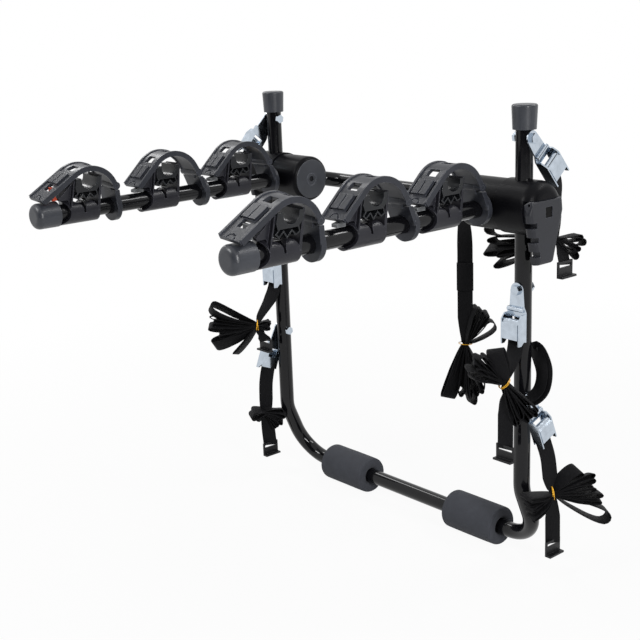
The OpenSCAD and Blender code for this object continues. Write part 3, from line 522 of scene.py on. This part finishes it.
# Each strap, in millimetres and degrees:
# run and tail, the points from the buckle to the waist and from the waist to the hook;
# side, the direction of the width at the buckle, and free_side, at the waist and the hook;
# waist, where the loops meet, and pinch, the share of the width there where no band ties it;
# fans, two fans of loops (first and last angle, count, tilt, reach, spread);
# loops, those that stand out of the fans (angle, tilt, reach, spread, roll);
# bulge, the points of one wide loop; band, the rubber band (angle, tilt, half height, half depth)
STRAPS = {
    "upper_left": {
        "run": [(-296, -82, 588), (-296, -93, 574), (-298, -99, 563), (-300, -105, 553)],
        "tail": [(-300, -116, 546), (-300, -124, 543), (-300, -132, 541)],
        "side": (0, 1, 0), "waist": (-300, -106, 551),
        "fans": [(150, 172, 3, 38, 46, 9), (186, 204, 3, 38, 50, 9)], "loops": [],
        "band": (175, 30, 7, 8),
    },
    "middle_left": {
        "run": [(-280, -59, 356), (-280, -59, 338), (-281, -70, 314), (-284, -92, 286)],
        "tail": [(-284, -92, 250), (-283.5, -88, 243), (-283, -84, 236)],
        "side": (1, 0, 0), "free_side": (0.88, 0.47, 0), "waist": (-287, -98, 268),
        "fans": [(170, 192, 5, 0, 84, 7), (-18, 14, 5, 0, 23, 7)],
        "loops": [(155, 0, 92, 18, 44), (203, 0, 88, 14, 58), (231, 0, 68, 3, 28)],
        "band": (178, 0, 9, 9),
    },
    "lower_left": {
        "run": [(-296, -66, 194), (-296, -73, 176), (-298, -77, 150), (-299, -78, 120), (-299, -79, 104)],
        "tail": [(-299, -78, 86), (-298, -77, 60), (-297, -75, 28)],
        "side": (0, 1, 0), "free_side": (0.63, 0.77, 0), "waist": (-299, -80, 96), "pinch": 0.92,
        "fans": [(180, 212, 3, 14, 30, 11), (-2, -58, 7, 0, 36, 8)], "loops": [],
    },
    "upper_right": {
        "run": [(296, -4, 588), (296, 6, 574), (297, 9, 560), (297, 8, 540), (298, 7, 515), (300, 6, 496)],
        "tail": [(305, 7, 476), (311, 7, 464), (317, 5, 448)],
        "side": (0, 1, 0), "waist": (301, 6, 484),
        "fans": [(192, 218, 4, -48, 130, 12), (-40, 2, 4, -15, 42, 9)],
        "loops": [(180, -48, 126, 18, 10)],
    },
    "middle_right": {
        "run": [(280, -59, 356), (280, -59, 338), (282, -66, 320), (288, -84, 300)],
        "tail": [(290, -93, 262), (289.5, -92.5, 235), (289, -92, 208), (288, -91, 182)],
        "side": (1, 0, 0), "free_side": (0.97, 0.22, 0), "waist": (289, -95, 286),
        "fans": [(124, 160, 6, 12, 66, 8), (-42, -74, 7, 0, 66, 8)],
        "loops": [(106, 12, 58, 16, 70), (-64, -6, 68, 12, 55)],
        "bulge": [(296, -74, 262), (304, -58, 250), (318, -43, 266), (317, -33, 294), (299, -24, 316),
                  (282, -20, 322), (294, -25, 311), (309, -34, 292), (311, -44, 268), (300, -60, 254),
                  (293, -78, 268)],
        "band": (135, 10, 10, 10),
    },
    "lower_right": {
        "run": [(296, -20, 194), (296, -13, 176), (303, -10, 150), (312, -15, 120), (317, -18, 106)],
        "tail": [(319, -18, 88), (320, -18, 60), (320, -17, 16)],
        "side": (0, 1, 0), "free_side": (0.4, 0.92, 0), "waist": (319, -18, 98),
        "fans": [(21, -12, 6, -10, 74, 8), (190, 222, 4, 20, 54, 5)],
        "loops": [(37, -14, 54, 15, 34), (172, 30, 54, 7, 0), (-29, -8, 102, 22, 0)],
        "band": (8, 0, 10, 9),
    },
    "tie": {
        "run": [(88, 48, 479), (88, 58, 500), (88, 60.5, 513), (88, 61, 520), (88, 60, 525), (88, 57, 529.5),
                (88, 52.5, 532.5), (88, 47, 534), (88, 41.5, 532.5), (88, 37, 529.5), (88, 34, 525),
                (88, 33, 520), (88, 33.5, 513), (88, 36, 500), (88, 42, 480), (88, 44, 440), (88, 44, 380),
                (88, 44, 320), (88, 44, 286)],
        "tail": [(88, 44, 268), (88, 42, 250)],
        "side": (1, 0, 0), "free_side": (0.83, 0.56, 0), "waist": (88, 44, 276),
        "fans": [(-101, -70, 8, 0, 98, 10), (48, 74, 5, 0, 64, 9)],
        "loops": [(-108, 0, 98, 11, 76), (35, 0, 58, 19, 0)],
        "band": (-88, 0, 11, 9),
    },
}


def same_way(direction, other):
    """The direction, or its opposite where that is nearer to the other one."""
    return -direction if direction.dot(other) < 0 else direction


def strap_path(facts):
    """A whole strap from buckle to hook: points, directions of its width, and shares of its width."""
    side = v3(*facts["side"])
    free = v3(*facts.get("free_side", facts["side"]))
    pinch = facts.get("pinch", TIED)
    points = [v3(*p) for p in facts["run"]]
    sides = [side] * (len(points) - TURNING) + [free] * TURNING
    pinches = [1.0] * (len(points) - 1) + [pinch]
    one, other = (fan_loops(*fan) for fan in facts["fans"])
    for facing in take_turns(one, other) + facts["loops"]:
        loop, flat, shares = folded_loop(v3(*facts["waist"]), *facing)
        points += loop
        sides += [same_way(flat, sides[-1])] * len(loop)
        pinches += [1 - (1 - share) * (1 - pinch) / (1 - TIED) for share in shares]
    bulge = [v3(*p) for p in facts.get("bulge", [])]
    points += bulge
    sides += [same_way(BULGE_SIDE, sides[-1])] * len(bulge)
    pinches += [1.0] * len(bulge)
    tail = [v3(*p) for p in facts["tail"]]
    points += tail
    sides += [same_way(free, sides[-1])] * len(tail)
    pinches += [pinch] + [1.0] * (len(tail) - 1)
    return points, sides, pinches


# The stitched keeper on the strap over the rear loop
KEEPER_W, KEEPER_T = 27.0, 5.0
KEEPER_AT = [v3(88, 44, z) for z in (412, 389, 366)]
keeper, _ = ribbon("tie_keeper", KEEPER_AT, [v3(*STRAPS["tie"]["free_side"])] * 3, [1.0] * 3, "tie_strap",
                   width=KEEPER_W, thick=KEEPER_T)

for strap, facts in STRAPS.items():
    body = "tie_strap" if strap == "tie" else "frame"
    obj, length = ribbon("webbing_strap_" + strap, *strap_path(facts), body)
    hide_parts("webbing_" + strap, "hank_" + strap)


# Rubber bands: turns pulled tight round each waist

# A strand's section as shares of its width, and the pitch of the turns as a share of it
STRAND_SECTION = ((-0.5, -0.3), (0.5, -0.3), (0.5, 0.3), (-0.5, 0.3))
STRAND_PITCH = 1.15
# How far a turn slants along the hank, in millimetres
SLANT = 1.2


def wound_bands(name, straps, node, body, turns, strand, parts=48):
    """Bands round the waists of the straps, as one piece that replaces a node."""
    verts, faces = [], []
    corners = len(STRAND_SECTION)
    for strap in straps:
        waist = v3(*STRAPS[strap]["waist"])
        angle, tilt, high, deep = STRAPS[strap]["band"]
        ahead, level, broad = fan_axes(angle, tilt)
        for k in range(turns):
            shift = (k - (turns - 1) / 2) * strand * STRAND_PITCH
            slant = jitter(SLANT)
            first = len(verts)
            for i in range(parts):
                a = 2 * math.pi * i / parts
                out = level * math.cos(a) + broad * math.sin(a)
                at = waist + level * (high * math.cos(a)) + broad * (deep * math.sin(a))
                at += ahead * (shift + slant * math.cos(a))
                for w, h in STRAND_SECTION:
                    verts.append((at + ahead * (w * strand) + out * (h * strand)) * MM)
            for i in range(parts):
                p, q = first + corners * i, first + corners * ((i + 1) % parts)
                for j in range(corners):
                    n = (j + 1) % corners
                    faces.append((p + j, q + j, q + n, p + n))
    obj = add_piece(name, verts, faces, "band_orange", body)
    round_off = obj.modifiers.new("round", "SUBSURF")
    round_off.levels = 1
    round_off.render_levels = 1
    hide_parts(node)


banded = [strap for strap in STRAPS if strap != "tie" and "band" in STRAPS[strap]]
wound_bands("wound_bands", banded, "rubber_bands", "frame", turns=2, strand=1.7)
wound_bands("wound_tie_band", ["tie"], "tie_band", "tie_strap", turns=1, strand=1.5)


# Hubs: a grey face plate on the inner end of each barrel, a dark tile of painted shade in each lever's square
# recess

# The plate's profile: distance from the barrel's face and radius
PLATE = [(-0.5, 33.0), (0.2, 32.8), (0.7, 32.0), (0.7, 10.8), (0.2, 10.5), (0.2, 9.6), (0.7, 9.3), (0.7, 5.2),
         (0.3, 4.8), (-0.5, 4.8)]
# Place and thickness of the dark tile that paints the shade in a lever's recess, in millimetres
SHADE_TILE_X, SHADE_TILE_Y, SHADE_TILE_Z = 321.0, (-46.4, -31.6), (524.6, 539.4)
SHADE_TILE_T = 0.4
BOX_FACES = [(0, 1, 3, 2), (4, 6, 7, 5), (0, 4, 5, 1), (2, 3, 7, 6), (0, 2, 6, 4), (1, 5, 7, 3)]


def face_plate(side, parts=72):
    """A ring turned about the hubs' axis on the inner end of a barrel."""
    inward = 1 if side == "left" else -1
    barrel = nodes["hub_barrel_" + side]
    face = max(inward * (barrel.matrix_world @ v.co).x for v in barrel.data.vertices)
    verts, faces = [], []
    count = len(PLATE)
    for i in range(parts):
        a = 2 * math.pi * i / parts
        for d, r in PLATE:
            y = HUB_Y + r * math.cos(a)
            z = HUB_Z + r * math.sin(a)
            verts.append((inward * (face + d * MM), y * MM, z * MM))
    for i in range(parts):
        p, q = count * i, count * ((i + 1) % parts)
        for j in range(count):
            k = (j + 1) % count
            faces.append((p + j, p + k, q + k, q + j))
    add_piece("hub_face_" + side, verts, faces, "cap_rubber", "arms", smooth=False)


def lever_shade_tile(side):
    """A thin dark plate at the bottom of a lever's recess: painted shade in the recess."""
    out = -1 if side == "left" else 1
    low, high = out * (SHADE_TILE_X - SHADE_TILE_T) * MM, out * SHADE_TILE_X * MM
    verts = [(x, y * MM, z * MM) for x in (low, high) for y in SHADE_TILE_Y for z in SHADE_TILE_Z]
    # Near black plastic here is painted shade at the bottom of the recess
    add_piece("lever_shade_tile_" + side, verts, BOX_FACES, "washer_plastic", "hub_lever_" + side, smooth=False)


for side in SIDES:
    face_plate(side)
    lever_shade_tile(side)


# Light, background and floor

def area_light(name, at, aim, size, power):
    data = bpy.data.lights.new(name, "AREA")
    data.shape = "RECTANGLE"
    data.size, data.size_y = size
    data.energy = power
    lamp = bpy.data.objects.new(name, data)
    scene.collection.objects.link(lamp)
    lamp.location = at
    lamp.rotation_euler = (Vector(aim) - Vector(at)).to_track_quat("-Z", "Y").to_euler()


def seen_rays(tree):
    """A socket that is 1 for what the camera sees, directly, in a reflection or through something clear."""
    rays = tree.nodes.new("ShaderNodeLightPath")
    seen = rays.outputs["Is Camera Ray"]
    for ray in ("Is Glossy Ray", "Is Transmission Ray"):
        either = tree.nodes.new("ShaderNodeMath")
        either.operation = "MAXIMUM"
        tree.links.new(seen, either.inputs[0])
        tree.links.new(rays.outputs[ray], either.inputs[1])
        seen = either.outputs["Value"]
    return seen


area_light("key", (2.7, -1.0, 1.3), (0, -0.15, 0.35), (0.45, 1.5), 62)
area_light("front", (-0.9, -2.6, 2.5), (0, -0.25, 0.45), (1.2, 0.6), 50)
area_light("rim", (1.2, 1.5, 2.5), (0, -0.25, 0.5), (1.3, 0.3), 22)
area_light("side", (-2.4, 0.2, 2.3), (0, -0.2, 0.45), (0.5, 1.6), 22)

# Strength of the background as light on the object; where it is seen, it is plain white
WORLD_LIGHT = 0.15
world = bpy.data.worlds.new("world")
scene.world = world
world.use_nodes = True
tree = world.node_tree
backdrop = tree.nodes["Background"]
backdrop.inputs["Color"].default_value = (1, 1, 1, 1)
tree.links.new(map_range(tree, seen_rays(tree), (0.0, 1.0), WORLD_LIGHT, 1.0), backdrop.inputs["Strength"])

# Share of plain white in what the camera sees of the floor near the object, where the rest keeps the
# shadow; further off it is plain white
FLOOR_WHITE = 0.94
FADE_SPAN = (0.4, 1.6)
FLOOR_Z = -0.034
FLOOR_R = 6.0
floor = add_object("floor", [(-FLOOR_R, -FLOOR_R, FLOOR_Z), (FLOOR_R, -FLOOR_R, FLOOR_Z),
                             (FLOOR_R, FLOOR_R, FLOOR_Z), (-FLOOR_R, FLOOR_R, FLOOR_Z)], [(0, 1, 2, 3)])
floor_mat = new_material("floor", (0.62, 0.62, 0.62), 0.9, specular=0.0)
floor.data.materials.append(floor_mat)
tree = floor_mat.node_tree
coords = tree.nodes.new("ShaderNodeTexCoord")
far = tree.nodes.new("ShaderNodeVectorMath")
far.operation = "LENGTH"
tree.links.new(coords.outputs["Object"], far.inputs[0])
share = tree.nodes.new("ShaderNodeMath")
share.operation = "MULTIPLY"
tree.links.new(seen_rays(tree), share.inputs[0])
tree.links.new(map_range(tree, far.outputs["Value"], FADE_SPAN, FLOOR_WHITE, 1.0), share.inputs[1])
white = tree.nodes.new("ShaderNodeEmission")
mix = tree.nodes.new("ShaderNodeMixShader")
tree.links.new(share.outputs["Value"], mix.inputs["Fac"])
tree.links.new(tree.nodes["Principled BSDF"].outputs["BSDF"], mix.inputs[1])
tree.links.new(white.outputs["Emission"], mix.inputs[2])
tree.links.new(mix.outputs["Shader"], tree.nodes["Material Output"].inputs["Surface"])

# A dark studio wall behind the camera gives the black parts something to reflect
WALL_R = 4.6
WALL_TOP = 4.5
WALL_HALF = 62.0
WALL_PARTS = 24
wall_verts, wall_faces = [], []
for i in range(WALL_PARTS + 1):
    a = AZIMUTH - math.pi / 2 + math.radians(-WALL_HALF + 2 * WALL_HALF * i / WALL_PARTS)
    for z in (FLOOR_Z, WALL_TOP):
        wall_verts.append((WALL_R * math.cos(a), WALL_R * math.sin(a), z))
    if i:
        wall_faces.append((2 * i - 2, 2 * i, 2 * i + 1, 2 * i - 1))
wall = add_object("studio_wall", wall_verts, wall_faces)
wall.data.materials.append(new_material("studio_wall", (0.03, 0.03, 0.03), 0.9, specular=0.0))
wall.visible_camera = False

scene.view_settings.view_transform = "Standard"
